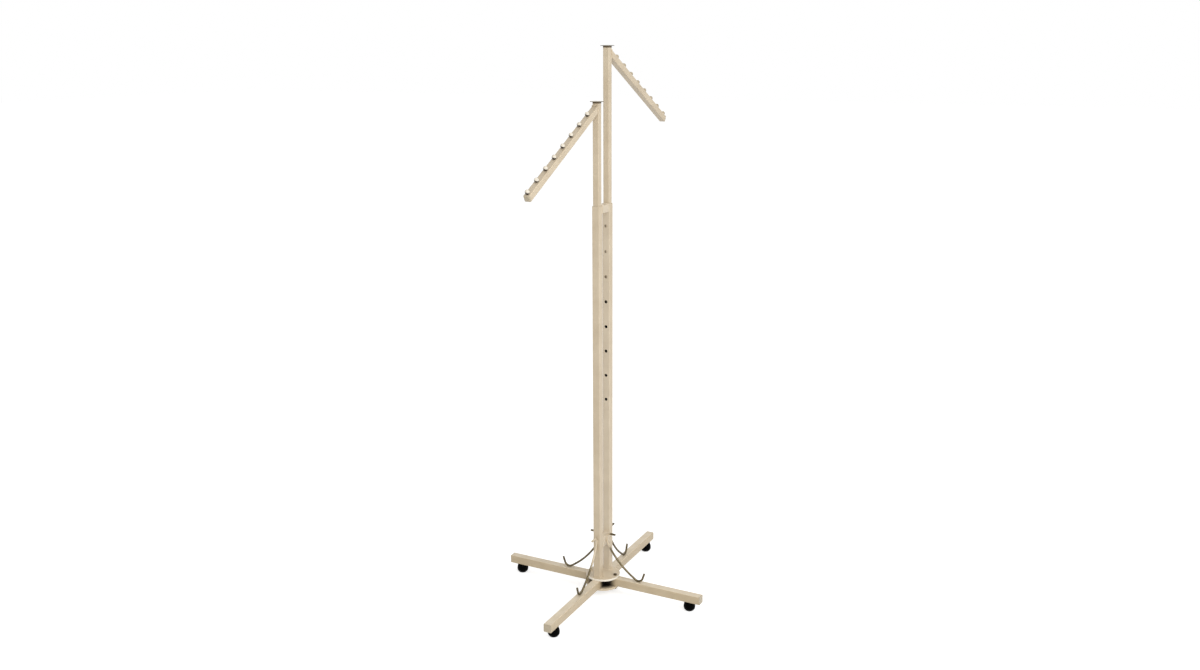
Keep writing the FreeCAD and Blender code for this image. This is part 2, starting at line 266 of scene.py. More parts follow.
def arc_points(centre_x, centre_z, radius, start, end, steps):
    """Points of an arc in the outline's plane, with its angles in degrees."""
    angles = [math.radians(start + (end - start) * k / steps) for k in range(steps + 1)]
    return [(centre_x + radius * math.cos(a), centre_z + radius * math.sin(a)) for a in angles]


def flank(belly, belly_height, end, end_height, steps):
    """The arc of a barrel's side, from its belly to a narrower end."""
    inward, along = belly - end, end_height - belly_height
    radius = (inward**2 + along**2) / (2 * inward)
    turn = math.degrees(math.atan2(along, radius - inward))
    return arc_points(belly - radius, belly_height, radius, 0, turn, steps)


def shade(mesh, sharp=35):
    """Smooth faces, with edges sharper than that many degrees left crisp."""
    mesh.polygons.foreach_set("use_smooth", [True] * len(mesh.polygons))
    mesh.set_sharp_from_angle(angle=math.radians(sharp))


def mesh_from(bm, name, sharp=35):
    """A shaded mesh from working mesh data, which is let go."""
    mesh = bpy.data.meshes.new(name)
    bm.to_mesh(mesh)
    bm.free()
    shade(mesh, sharp)
    return mesh


def at_angle(value, angle):
    return value(angle) if callable(value) else value


def turned_mesh(name, outline, steps=64, sharp=35):
    """A mesh turned about Z from (radius, height) points. Either may be a function of the angle."""
    bm = bmesh.new()
    rings = []
    for radius, height in outline:
        if radius == 0:
            rings.append([bm.verts.new((0, 0, height))])
            continue
        ring = []
        for k in range(steps):
            a = 2 * math.pi * k / steps
            r = at_angle(radius, a)
            ring.append(bm.verts.new((r * math.cos(a), r * math.sin(a), at_angle(height, a))))
        rings.append(ring)
    for low, high in zip(rings, rings[1:]):
        for k in range(steps):
            corners = (low[k % len(low)], low[(k + 1) % len(low)])
            corners += (high[(k + 1) % len(high)], high[k % len(high)])
            bm.faces.new(tuple(dict.fromkeys(corners)))
    bmesh.ops.recalc_face_normals(bm, faces=bm.faces)
    return mesh_from(bm, name, sharp)


def new_piece(name, mesh, material, body, slot, *nodes):
    """An object at the origin that rides on a body and stands for CAD nodes."""
    piece = bpy.data.objects.new(name, mesh)
    scene.collection.objects.link(piece)
    mesh.materials.clear()
    mesh.materials.append(material)
    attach(piece, body)
    if nodes:
        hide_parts(*nodes)
    return piece


def pad_outline():
    """Half a pad's section, from the middle of its sole round to the floor of its bore."""
    lower = flank(pad_belly, pad_belly_height, pad_sole, pad_sole_edge, 10)
    upper = flank(pad_belly, pad_belly_height, pad_top, pad_height - pad_top_edge, 12)
    sole_rim = arc_points(pad_sole - pad_sole_edge, pad_sole_edge, pad_sole_edge, -90, -20, 4)
    top_rim = arc_points(pad_top - pad_top_edge, pad_height - pad_top_edge, pad_top_edge, 20, 90, 4)
    dish = [(0, pad_dish_depth), (pad_dish - pad_dish_depth, pad_dish_depth), (pad_dish, 0)]
    bore = [(pad_bore, pad_height), (pad_bore, pad_bore_floor), (0, pad_bore_floor)]
    return dish + sole_rim + lower[::-1] + upper[1:] + top_rim + bore


def foot_place(side):
    low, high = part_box("foot_pad_" + side)
    return Vector(((low.x + high.x) / 2, (low.y + high.y) / 2, 0))


pad_mesh = turned_mesh("foot_pad", pad_outline(), steps=72)
for side in SIDES:
    mesh = pad_mesh.copy()
    mesh.transform(Matrix.Translation(foot_place(side)))
    pad = "foot_pad_" + side
    new_piece("pad_" + side, mesh, black_plastic, pad, "black_plastic", pad)


# Foot screws and their nuts
# Zinc plated M8 screws, moulded into the pads, that turn in hexagon nuts welded inside the
# legs. Their thread shows when a foot is wound out.
stem_low, stem_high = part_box("foot_stem_right")
stem_radius = (stem_high.x - stem_low.x) / 2
stem_pitch = 0.00125
cloud_scale = 180.0
cloud_edge = (0.3, 0.7)
cloud_shade = 0.8
scratch_stretch = (900, 900, 60)
scratch_smoothing = 0.1
scratch_roughening = 0.12


def inverse(tree, value):
    """What a number from 0 to 1 lacks of 1."""
    return math_node(tree, "SUBTRACT", 1.0, value)


def streaked(tree, place, stretch, detail=2.0):
    """Noise on places scaled by axis, drawn out into streaks along the least one."""
    drawn = add(tree, "ShaderNodeMapping", {"Vector": place, "Scale": stretch})
    return noise(tree, drawn.outputs[0], 1.0, detail)


def zinc_plate(name, colour, roughness, coat=None):
    """Plated steel: cloudy patches and fine scratches on a bright metal. Coat draws the mask
    of places that are painted over."""
    material, tree, shader = new_material(name)
    place = place_on_piece(tree)
    cloud = band(tree, noise(tree, place, cloud_scale, detail=5.0), *cloud_edge)
    clouded = (*[cloud_shade * c for c in colour[:3]], 1.0)
    base = mixed(tree, cloud, clouded, colour)
    metallic = 1.0
    if coat:
        painted = coat(tree)
        base = mixed(tree, painted, base, sand_light)
        metallic = inverse(tree, painted)
    scratches = streaked(tree, place, scratch_stretch)
    smoothest, roughest = roughness - scratch_smoothing, roughness + scratch_roughening
    rough = spread(tree, scratches, smoothest, roughest)
    feed(tree, shader, Base_Color=base, Metallic=metallic, Roughness=rough)
    return material


zinc = zinc_plate("zinc_plated_steel", tint(190, 188, 180), roughness=0.34)
thread_ridge = 0.5
thread_root = 1.1


def lifted(tree, geometry, height):
    """Geometry raised by half a height."""
    lift = add(tree, "ShaderNodeCombineXYZ", {"Z": product(tree, height, 0.5)})
    sockets = {"Geometry": geometry, "Translation": lift.outputs[0]}
    return add(tree, "GeometryNodeTransform", sockets).outputs[0]


def end_tree(tree, geometry, finish, out):
    """Ends a tree with plain geometry that has its finish."""
    plain = add(tree, "GeometryNodeRealizeInstances", {"Geometry": geometry})
    sockets = {"Geometry": plain.outputs[0], "Material": finish}
    finished = add(tree, "GeometryNodeSetMaterial", sockets)
    tree.links.new(finished.outputs[0], out["Geometry"])


def thread_tree():
    """A threaded rod along Z: a core with one spiral ridge wound on it."""
    tree, given, out = new_group(
        "threaded_rod",
        "GeometryNodeTree",
        {
            "Radius": "NodeSocketFloat",
            "Pitch": "NodeSocketFloat",
            "Length": "NodeSocketFloat",
            "Finish": "NodeSocketMaterial",
        },
        {"Geometry": "NodeSocketGeometry"},
    )
    ridge = product(tree, given["Pitch"], thread_ridge)
    wound_at = math_node(tree, "SUBTRACT", given["Radius"], ridge)
    core = math_node(tree, "SUBTRACT", given["Radius"], product(tree, ridge, thread_root))
    inner = math_node(tree, "SUBTRACT", given["Length"], given["Pitch"])
    spiral = add(
        tree,
        "GeometryNodeCurveSpiral",
        {
            "Resolution": 28,
            "Rotations": math_node(tree, "DIVIDE", inner, given["Pitch"]),
            "Start Radius": wound_at,
            "End Radius": wound_at,
            "Height": inner,
        },
    )
    upright = add(tree, "GeometryNodeSetCurveNormal", {"Curve": spiral.outputs[0]}, mode="Z_UP")
    section = add(tree, "GeometryNodeCurvePrimitiveCircle", {"Resolution": 4, "Radius": ridge})
    wound = add(
        tree,
        "GeometryNodeCurveToMesh",
        {"Curve": upright.outputs[0], "Profile Curve": section.outputs[0], "Fill Caps": True},
    )
    raised = lifted(tree, wound.outputs[0], given["Pitch"])
    sizes = {"Vertices": 32, "Radius": core, "Depth": given["Length"]}
    rod = add(tree, "GeometryNodeMeshCylinder", sizes)
    joined = add(tree, "GeometryNodeJoinGeometry", {0: raised})
    tree.links.new(lifted(tree, rod.outputs["Mesh"], given["Length"]), joined.inputs[0])
    end_tree(tree, joined.outputs[0], given["Finish"], out)
    return tree


def grown_mesh(name, tree, inputs, base=None):
    """The plain mesh that a Geometry Nodes tree makes, on an empty mesh or on given data."""
    carrier = bpy.data.objects.new(name, base or bpy.data.meshes.new(name))
    scene.collection.objects.link(carrier)
    modifier = carrier.modifiers.new("grown", "NODES")
    modifier.node_group = tree
    for item in tree.interface.items_tree:
        if item.in_out == "INPUT" and item.name in inputs:
            modifier[item.identifier] = inputs[item.name]
    bpy.context.view_layer.update()
    depsgraph = bpy.context.evaluated_depsgraph_get()
    mesh = bpy.data.meshes.new_from_object(carrier.evaluated_get(depsgraph))
    bpy.data.objects.remove(carrier)
    mesh.name = name
    return mesh


threaded_rod = thread_tree()


def thread_mesh(name, radius, pitch, length):
    inputs = {"Radius": radius, "Pitch": pitch, "Length": length, "Finish": zinc}
    mesh = grown_mesh(name, threaded_rod, inputs)
    shade(mesh)
    return mesh


stem_mesh = thread_mesh("foot_screw", stem_radius, stem_pitch, stem_high.z - stem_low.z)
for side in SIDES:
    mesh = stem_mesh.copy()
    mesh.transform(Matrix.Translation(foot_place(side) + Vector((0, 0, stem_low.z))))
    body, node = "foot_screw_" + side, "foot_stem_" + side
    new_piece("screw_" + side, mesh, zinc, body, "zinc_fastener", node)


def finish_nodes(material, *names):
    """Gives CAD nodes, whose shapes stay, a finish."""
    for name in names:
        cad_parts[name].material_slots[0].material = material


finish_nodes(zinc, "foot_nuts")


# Legs
# Four lengths of square steel tube, bolted between the hub plates. They are powder coated
# in a warm sand colour, a darker copy of it on the legs as painted shade on their sides, and
# thick dust on top, partly painted light, lifts their upper faces back up.
sand_dark = tint(196, 179, 152)
sand_light = tint(206, 190, 164)
# A darker copy of the sand tones, painted shade on the legs' sides.
leg_painted_shade_tones = (tint(186, 168, 137), tint(195, 177, 147))
# Thick dust, partly painted light that lifts the legs' tops.
leg_dust_and_light = 0.85
bare_steel = tint(120, 112, 100)
rubbed_sand = tint(212, 200, 178)
# Pale sand for painted light.
painted_light_sand = tint(238, 230, 215)
# Near black for painted shade in recesses.
painted_shade_black = tint(22, 19, 16)
# Brown for darkening, mostly painted shade.
darkening_brown = tint(40, 27, 10)
worn_edge = (0.02, 0.14)
chip_scale = 260.0
chip_edge = (0.5, 0.66)


def wear_group():
    """Worn spots along sharp edges, broken up so that no line runs unbroken."""
    tree, given, out = new_group(
        "edge_wear",
        "ShaderNodeTree",
        {"Reach": "NodeSocketFloat", "Amount": "NodeSocketFloat"},
        {"Mask": "NodeSocketFloat"},
    )
    rounded = add(tree, "ShaderNodeBevel", {"Radius": given["Reach"]}, samples=4).outputs[0]
    normal = add(tree, "ShaderNodeNewGeometry").outputs["Normal"]
    dot = add(tree, "ShaderNodeVectorMath", {0: rounded, 1: normal}, operation="DOT_PRODUCT")
    edge = band(tree, inverse(tree, dot.outputs["Value"]), *worn_edge)
    chips = band(tree, noise(tree, place_on_piece(tree), chip_scale, detail=5.0), *chip_edge)
    tree.links.new(product(tree, edge, chips, given["Amount"]), out["Mask"])
    return tree


edge_wear = wear_group()
streak_edge = (0.52, 0.7)
rub_patch_scale = 14.0
rub_patch_edge = (0.42, 0.62)


def turned_about_x(tree, place, angle):
    """Places turned about the X axis, so that what follows a slope lies along Y."""
    sockets = {"Vector": place, "Angle": angle}
    return add(tree, "ShaderNodeVectorRotate", sockets, rotation_type="X_AXIS").outputs[0]


def rub_group():
    """Streaks rubbed into a finish along one direction, in a few long patches."""
    tree, given, out = new_group(
        "rub_marks",
        "ShaderNodeTree",
        {"Turn": "NodeSocketFloat", "Stretch": "NodeSocketVector", "Amount": "NodeSocketFloat"},
        {"Mask": "NodeSocketFloat"},
    )
    place = place_on_piece(tree)
    turned = turned_about_x(tree, place, given["Turn"])
    streaks = band(tree, streaked(tree, turned, given["Stretch"], detail=4.0), *streak_edge)
    patches = band(tree, noise(tree, place, rub_patch_scale, detail=3.0), *rub_patch_edge)
    tree.links.new(product(tree, streaks, patches, given["Amount"]), out["Mask"])
    return tree


rub_marks = rub_group()
ACROSS, ALONG = 620.0, 9.0
peel_grain = 620.0
peel_depth = 0.09
chip_reach = 0.0007
chip_strength = 0.5
coat_roughness = (0.34, 0.42)


def sand_paint(
    name,
    stretch,
    turn=0.0,
    rub=0.35,
    dust=0.3,
    shades=(sand_dark, sand_light),
    pale=None,
    darkening=None,
    painted_shade=None,
):
    """Powder coat with orange peel, rubbed streaks, chipped edges and dust on top. Three masks
    may follow: one paints light in a pale sand, one darkens to brown, mostly as painted
    shade, and one paints shade in near black."""
    material, tree, shader = new_material(name)
    skin = effect(tree, surface_grain, Grain=peel_grain, Depth=peel_depth)
    rubbed = effect(tree, rub_marks, Turn=turn, Stretch=stretch, Amount=rub)
    settled = effect(tree, settled_dust, Amount=dust)
    worn = effect(tree, edge_wear, Reach=chip_reach, Amount=chip_strength)
    base = mixed(tree, skin["Blotch"], *shades)
    base = mixed(tree, rubbed["Mask"], base, rubbed_sand)
    base = mixed(tree, settled["Mask"], base, dust_colour)
    base = mixed(tree, worn["Mask"], base, bare_steel)
    # Painted light, brown darkening (mostly painted shade) and near-black painted shade.
    for mask, colour in ((pale, painted_light_sand), (darkening, darkening_brown), (painted_shade, painted_shade_black)):
        if mask:
            base = mixed(tree, mask(tree), base, colour)
    rough = spread(tree, skin["Blotch"], *coat_roughness)
    feed(tree, shader, Base_Color=base, Roughness=rough, Normal=bumped(tree, skin["Height"]))
    return material


hub_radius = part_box("hub_top_plate")[1].x
leg_bottom, leg_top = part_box("leg_right")[0].z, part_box("leg_right")[1].z
hub_fade = 0.022
hub_lit_height = 0.006
face_margin = 0.0002


def parts_of_place(tree):
    """The three coordinates of a place on a piece."""
    return add(tree, "ShaderNodeSeparateXYZ", {0: place_on_piece(tree)}).outputs


def distance_of(tree, a, b):
    """How far a place lies from an axis, with a and b across it."""
    squares = [math_node(tree, "POWER", c, 2.0) for c in (a, b)]
    return math_node(tree, "SQRT", math_node(tree, "ADD", *squares))


def shade_between_plates(tree):
    """1 deep in the gap between the hub plates, around the inner ends of the legs, where painted
    shade darkens the paint to near black.
    """
    x, y, z = parts_of_place(tree)
    inside = inverse(tree, band(tree, distance_of(tree, x, y), hub_radius - hub_fade, hub_radius))
    above = math_node(tree, "GREATER_THAN", z, leg_bottom - face_margin)
    below = inverse(tree, band(tree, z, leg_top - hub_lit_height, leg_top))
    return product(tree, inside, above, below)


leg_finish = {"painted_shade": shade_between_plates, "shades": leg_painted_shade_tones, "dust": leg_dust_and_light}
side_leg_paint = sand_paint("sand_paint_side_legs", (ALONG, ACROSS, ACROSS), **leg_finish)
end_leg_paint = sand_paint("sand_paint_end_legs", (ACROSS, ALONG, ACROSS), **leg_finish)
finish_nodes(side_leg_paint, "leg_right", "leg_left")
finish_nodes(end_leg_paint, "leg_back", "leg_front")


# Leg end plugs
# Sand coloured plastic plugs pushed into the open ends of the legs, a shade duller than the
# paint, with softly rounded faces.
sand_plastic = moulded_plastic(
    "sand_plastic",
    (tint(179, 166, 141), tint(187, 174, 150)),
    grain=1900.0,
    depth=0.05,
    roughness=0.46,
    dust=0.2,
)
finish_nodes(sand_plastic, *("leg_cap_" + side for side in SIDES))


# Hub plates
# Two round plates cut from thick steel. The upper one is welded under the column and the
# lower one is bolted up to it, and the legs are clamped between them.
hub_rim_inner = 0.0012
hub_rim_outer = 0.0004


def highlight_on_upper_rim(tree):
    """1 on the rim of the upper plate, where a painted highlight pales it."""
    x, y, z = parts_of_place(tree)
    radii = (hub_radius - hub_rim_inner, hub_radius - hub_rim_outer)
    rim = band(tree, distance_of(tree, x, y), *radii)
    return product(tree, rim, math_node(tree, "GREATER_THAN", z, leg_top))


hub_finish = {"dust": 0.35, "painted_shade": shade_between_plates, "pale": highlight_on_upper_rim}
hub_paint = sand_paint("sand_paint_hub", (ACROSS, ALONG, ACROSS), **hub_finish)
finish_nodes(hub_paint, "hub_top_plate", "hub_bottom_plate")


# Hub bolts, washers and nuts
# M6 hexagon bolts, darkened and oiled. Two go down through both plates and the side legs,
# the left one painted over with the hub, and two come up from below into nuts inside the
# front and back legs.
bolt_across_flats = 0.010
bolt_head_height = 0.004
bolt_radius = 0.003
bolt_pitch = 0.001
bolt_rim_share = 0.47
bolt_chamfer = math.tan(math.radians(30))
side_bolt_radius = 0.042
front_bolt_radius = 0.030
washer_thickness = 0.0016
nut_height = 0.005
bolt_tail = 0.002
leg_wall = 0.0015
hub_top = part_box("hub_top_plate")[1].z
hub_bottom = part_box("hub_bottom_plate")[0].z


def on_left_bolt(tree):
    return math_node(tree, "LESS_THAN", parts_of_place(tree)["X"], -front_bolt_radius)


bolt_steel = zinc_plate("darkened_bolt_steel", tint(92, 80, 62), roughness=0.42, coat=on_left_bolt)


def hexagon(across_flats):
    """The radius of a hexagon at an angle, with its corners on the X axis."""
    half = across_flats / 2
    return lambda angle: half / math.cos((angle % (math.pi / 3)) - math.pi / 6)


def head_outline():
    """Half a hexagon head's section, with its upper corners chamfered."""
    flat = hexagon(bolt_across_flats)
    rim = bolt_across_flats * bolt_rim_share

    def chamfer(angle):
        return bolt_head_height - (flat(angle) - rim) * bolt_chamfer

    return [(0, 0), (flat, 0), (flat, chamfer), (rim, bolt_head_height), (0, bolt_head_height)]


def joined_mesh(name, parts):
    """One mesh from (mesh, matrix) pairs."""
    bm = bmesh.new()
    for mesh, matrix in parts:
        copy = mesh.copy()
        copy.transform(matrix)
        bm.from_mesh(copy)
        bpy.data.meshes.remove(copy)
    return mesh_from(bm, name)


head_mesh = turned_mesh("bolt_head", head_outline())
side_tail = hub_bottom - washer_thickness - nut_height - bolt_tail
side_shank = thread_mesh("side_shank", bolt_radius, bolt_pitch, hub_top - side_tail)
end_seat = hub_bottom - washer_thickness
end_shank_top = leg_bottom + leg_wall + nut_height + bolt_tail
end_shank = thread_mesh("end_shank", bolt_radius, bolt_pitch, end_shank_top - end_seat)
upside_down = Matrix.Rotation(math.pi, 4, "X")
bolt_parts = []
for sign in (1, -1):
    x, y = sign * side_bolt_radius, sign * front_bolt_radius
    bolt_parts += [
        (head_mesh, Matrix.Translation((x, 0, hub_top))),
        (side_shank, Matrix.Translation((x, 0, side_tail))),
        (head_mesh, Matrix.Translation((0, y, end_seat)) @ upside_down),
        (end_shank, Matrix.Translation((0, y, end_seat))),
    ]
bolt_mesh = joined_mesh("hub_bolts", bolt_parts)
new_piece("hub_bolt_set", bolt_mesh, bolt_steel, "base", "zinc_fastener", "hub_bolts")
finish_nodes(bolt_steel, "hub_washers", "hub_nuts")


# Column tubes and spacers
# Two square steel tubes stand side by side with a finger's gap between them, each with a
# row of holes for the snap button. Short tubes welded across hold them apart.
tube_low, tube_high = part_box("column_tube_rear")
tube_half = tube_high.x
tube_wall = 0.0016
tube_corner = 0.002
column_y = (tube_low.y + tube_high.y) / 2
coated_wall = 0.7
gap_painted_light = 0.2


def off_tube_axis(tree, y):
    """How far a place lies outward of the axis of its tube, cap or mast, along Y."""
    return math_node(tree, "SUBTRACT", math_node(tree, "ABSOLUTE", y), column_y)


def shade_inside_tubes(tree):
    """1 in the bores of the two column tubes, which the powder doesn't reach. Their uncoated
    steel is dark, and painted shade takes it to near black.
    """
    x, y, _ = parts_of_place(tree)
    off_axis = math_node(tree, "ABSOLUTE", off_tube_axis(tree, y))
    farther = math_node(tree, "MAXIMUM", math_node(tree, "ABSOLUTE", x), off_axis)
    return math_node(tree, "LESS_THAN", farther, tube_half - tube_wall * coated_wall)


def light_in_gap(tree):
    """Faint painted light on what lies between the tubes, where shade falls."""
    off_middle = math_node(tree, "ABSOLUTE", parts_of_place(tree)["Y"])
    gap_half = column_y - tube_half
    outside = band(tree, off_middle, gap_half, gap_half + tube_corner)
    return product(tree, inverse(tree, outside), gap_painted_light)


# The gap between the tubes gets painted light and the bores painted shade.
column_finish = {"dust": 0.2, "pale": light_in_gap, "painted_shade": shade_inside_tubes}
column_paint = sand_paint("sand_paint_column", (ACROSS, ACROSS, ALONG), **column_finish)
finish_nodes(column_paint, "column_tube_rear", "column_tube_front", "top_spacer", "lower_spacer")


# Bent rods
# Four lengths of plated wire rod, bent to a peg at the top and a hooked heel above a leg,
# and welded to the column by their short shanks. Near the column they take the sand colour,
# partly the powder coat reaching over them and partly a painted highlight, which runs
# farthest down the front one.
rod_colour = tint(107, 96, 73)
smeared_rod = tint(87, 78, 58)
smear_scale = 60.0
smear_edge = (0.3, 0.7)
rod_line_stretch = (800, 800, 120)
rod_roughness = (0.24, 0.4)
coat_and_highlight_reach = 0.008
coat_and_highlight_end = 0.018
front_highlight_share = 0.36


def coat_and_highlight_near_column(tree):
    """1 on the faces of the column and 0 farther out than the sand colour's reach, which is
    partly powder coat and partly a painted highlight. In front a distance counts for less, so
    the painted highlight runs farther down the front rod."""
    x, y, _ = parts_of_place(tree)
    face_y = column_y + tube_half
    aside = math_node(tree, "SUBTRACT", math_node(tree, "ABSOLUTE", x), tube_half)
    behind = math_node(tree, "SUBTRACT", y, face_y)
    before = math_node(tree, "SUBTRACT", product(tree, y, -1.0), face_y)
    before = product(tree, before, front_highlight_share)
    farthest = math_node(tree, "MAXIMUM", aside, math_node(tree, "MAXIMUM", behind, before))
    return inverse(tree, band(tree, farthest, coat_and_highlight_reach, coat_and_highlight_end))


def wire_plate():
    """Dull nickel plate on drawn wire, with faint lengthwise lines and handling smears."""
    material, tree, shader = new_material("plated_rod")
    place = place_on_piece(tree)
    smear = band(tree, noise(tree, place, smear_scale, detail=4.0), *smear_edge)
    wire = mixed(tree, smear, smeared_rod, rod_colour)
    # Sand colour near the column: powder coat over the shanks and a painted highlight.
    coat = coat_and_highlight_near_column(tree)
    feed(
        tree,
        shader,
        Base_Color=mixed(tree, coat, wire, sand_light),
        Metallic=inverse(tree, coat),
        Roughness=spread(tree, streaked(tree, place, rod_line_stretch), *rod_roughness),
    )
    return material


plated_rod = wire_plate()
finish_nodes(plated_rod, *("bent_rod_" + side for side in SIDES))


# Welds on the column
# Rippled weld beads run round the column tubes' feet, along the ends of the spacers and
# down both sides of each rod's shank. The powder coat covers them too.
weld_width = 0.0042
weld_pitch = 0.0013
weld_lean = math.radians(28)
weld_seed = 7
weld_unevenness = (0.86, 1.12)
ripple_thickness = 2.2
weld_lift = 0.0004
weld_inset = 0.0006


def weld_tree():
    """Overlapping leaned ripples along the curves that the tree is given."""
    tree, given, out = new_group(
        "weld_bead",
        "GeometryNodeTree",
        {
            "Geometry": "NodeSocketGeometry",
            "Pitch": "NodeSocketFloat",
            "Width": "NodeSocketFloat",
            "Lean": "NodeSocketFloat",
            "Seed": "NodeSocketInt",
            "Finish": "NodeSocketMaterial",
        },
        {"Geometry": "NodeSocketGeometry"},
    )
    points = add(
        tree,
        "GeometryNodeCurveToPoints",
        {"Curve": given["Geometry"], "Length": given["Pitch"]},
        mode="LENGTH",
    )
    drop = add(tree, "GeometryNodeMeshUVSphere", {"Segments": 10, "Rings": 6, "Radius": 0.5})
    tangent = {"Vector": points.outputs["Tangent"]}
    along = add(tree, "FunctionNodeAlignRotationToVector", tangent, axis="Z")
    lean = add(tree, "FunctionNodeAxisAngleToRotation", {"Axis": (1, 0, 0), "Angle": given["Lean"]})
    leaned = add(
        tree,
        "FunctionNodeRotateRotation",
        {"Rotation": along.outputs[0], "Rotate By": lean.outputs[0]},
        rotation_space="LOCAL",
    )
    least, most = weld_unevenness
    limits = {2: least, 3: most, "Seed": given["Seed"]}
    uneven = add(tree, "FunctionNodeRandomValue", limits, data_type="FLOAT")
    across = product(tree, given["Width"], uneven.outputs[1])
    thick = product(tree, given["Pitch"], ripple_thickness)
    size = add(tree, "ShaderNodeCombineXYZ", {"X": across, "Y": across, "Z": thick})
    beads = add(
        tree,
        "GeometryNodeInstanceOnPoints",
        {
            "Points": points.outputs["Points"],
            "Instance": drop.outputs["Mesh"],
            "Rotation": leaned.outputs[0],
            "Scale": size.outputs[0],
        },
    )
    smooth = add(tree, "GeometryNodeSetShadeSmooth", {"Geometry": beads.outputs[0]})
    end_tree(tree, smooth.outputs[0], given["Finish"], out)
    return tree


weld_bead = weld_tree()


def weld_mesh(name, paths, material):
    """Weld beads along paths, each a list of points and whether it closes."""
    curve = bpy.data.curves.new(name, "CURVE")
    curve.dimensions = "3D"
    for points, closes in paths:
        spline = curve.splines.new("POLY")
        spline.points.add(len(points) - 1)
        for point, place in zip(spline.points, points):
            point.co = (*place, 1.0)
        spline.use_cyclic_u = closes
    inputs = {
        "Pitch": weld_pitch,
        "Width": weld_width,
        "Lean": weld_lean,
        "Seed": weld_seed,
        "Finish": material,
    }
    return grown_mesh(name, weld_bead, inputs, curve)


def rounded_loop(half_width, half_height, corner, steps=4):
    """Points round a rectangle with rounded corners, about the origin."""
    points = []
    for k, (sx, sy) in enumerate(((1, 1), (-1, 1), (-1, -1), (1, -1))):
        centre = (sx * (half_width - corner), sy * (half_height - corner))
        points += arc_points(*centre, corner, 90 * k, 90 * k + 90, steps)
    return points


weld_paths = []
for tube in ("column_tube_rear", "column_tube_front"):
    low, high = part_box(tube)
    middle = (low.y + high.y) / 2
    loop = rounded_loop(tube_half, tube_half, tube_corner)
    weld_paths.append(([(x, middle + y, hub_top + weld_lift) for x, y in loop], True))
for spacer in ("top_spacer", "lower_spacer"):
    low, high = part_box(spacer)
    half_width, half_height = (high.x - low.x) / 2, (high.z - low.z) / 2
    centre_z = (low.z + high.z) / 2
    for end in (low.y + weld_inset, high.y - weld_inset):
        loop = rounded_loop(half_width - weld_inset, half_height, tube_corner)
        weld_paths.append(([(x, end, centre_z + z) for x, z in loop], True))
rod_radius = 0.003175
rod_peg_bend = 0.008
rod_shank = 0.012
side_rod_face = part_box("bent_rod_right")[0].x
end_rod_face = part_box("bent_rod_back")[0].y
shank_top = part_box("bent_rod_right")[1].z - rod_radius - rod_peg_bend
shank_heights = (shank_top - rod_shank, shank_top)
for turn in (0, 90, 180, 270):
    about_column = Matrix.Rotation(math.radians(turn), 4, "Z")
    face = side_rod_face if turn % 180 == 0 else end_rod_face
    for across in (-rod_radius, rod_radius):
        ends = [about_column @ Vector((face + weld_inset, across, z)) for z in shank_heights]
        weld_paths.append((ends, False))
column_welds = weld_mesh("column_welds", weld_paths, column_paint)
new_piece("column_welds", column_welds, column_paint, "base", "beige_paint")


# Masts
# Square steel tubes that slide in the column tubes. Sliding leaves fine upright scratches
# in their powder coat, and painted shade darkens it at the left rim of each column hole.
MASTS = {"rear": 1, "front": -1}
hole_pitch = 0.0762
hole_drop = 0.0655
mark_aside = 0.0026
mark_below = 0.0012
mark_squeeze = 0.5
mark_core = 0.0016
mark_edge = 0.0034
mark_strength = 0.65


def shade_at_hole_rims(tree):
    """Painted shade at the left rim of each column hole, on the faces that look into the gap."""
    x, y, z = parts_of_place(tree)
    from_first = math_node(tree, "SUBTRACT", z, tube_high.z - hole_drop - mark_below)
    off_row = math_node(tree, "PINGPONG", from_first, hole_pitch / 2)
    aside = math_node(tree, "ADD", x, mark_aside)
    distance = distance_of(tree, aside, product(tree, off_row, mark_squeeze))
    spot = inverse(tree, band(tree, distance, mark_core, mark_edge))
    inner = math_node(tree, "LESS_THAN", math_node(tree, "ABSOLUTE", y), column_y)
    in_tube = math_node(tree, "LESS_THAN", z, tube_high.z)
    return product(tree, spot, mark_strength, inner, in_tube)


mast_stretch = (ACROSS, ACROSS, ALONG / 2)
mast_paint = sand_paint("sand_paint_masts", mast_stretch, rub=0.55, dust=0.15, darkening=shade_at_hole_rims)
finish_nodes(mast_paint, "mast_rear", "mast_front")


# Snap buttons
# A strip of spring steel bent to a V sits inside each mast, and the button riveted on its
# leg locks in a column hole. When the button is pressed the V closes up.
strip_shades = (tint(112, 100, 84), tint(138, 124, 105))
strip_grain_stretch = (1500, 1500, 40)
strip_roughness = (0.2, 0.36)
merge_distance = 1e-6


def spring_steel():
    """Oiled spring steel with a straight rolled grain."""
    material, tree, shader = new_material("spring_steel")
    grain = streaked(tree, place_on_piece(tree), strip_grain_stretch)
    base = mixed(tree, grain, *strip_shades)
    rough = spread(tree, grain, *strip_roughness)
    feed(tree, shader, Base_Color=base, Metallic=1.0, Roughness=rough)
    return material


def merged_copy(node):
    """A copy of a CAD node's mesh, with its loose triangles joined up."""
    bm = bmesh.new()
    bm.from_mesh(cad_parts[node].data)
    bmesh.ops.remove_doubles(bm, verts=bm.verts, dist=merge_distance)
    return mesh_from(bm, node)


clip_steel = spring_steel()
for mast, far in MASTS.items():
    node = "snap_clip_" + mast
    low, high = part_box(node)
    body = mast + "_button"
    mesh = merged_copy(node)
    clip = new_piece("snap_button_" + mast, mesh, clip_steel, body, "spring_steel", node)
    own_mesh(clip)


# Mast caps
# Round moulded caps, wider than the mast and slightly crowned, with a plug that goes into
# its top. Painted shade darkens their rims, and a dark band round each mast's top under
# the cap paints the shade below its overhang.
cap_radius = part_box("mast_cap_rear")[1].x
cap_rim = 0.0011


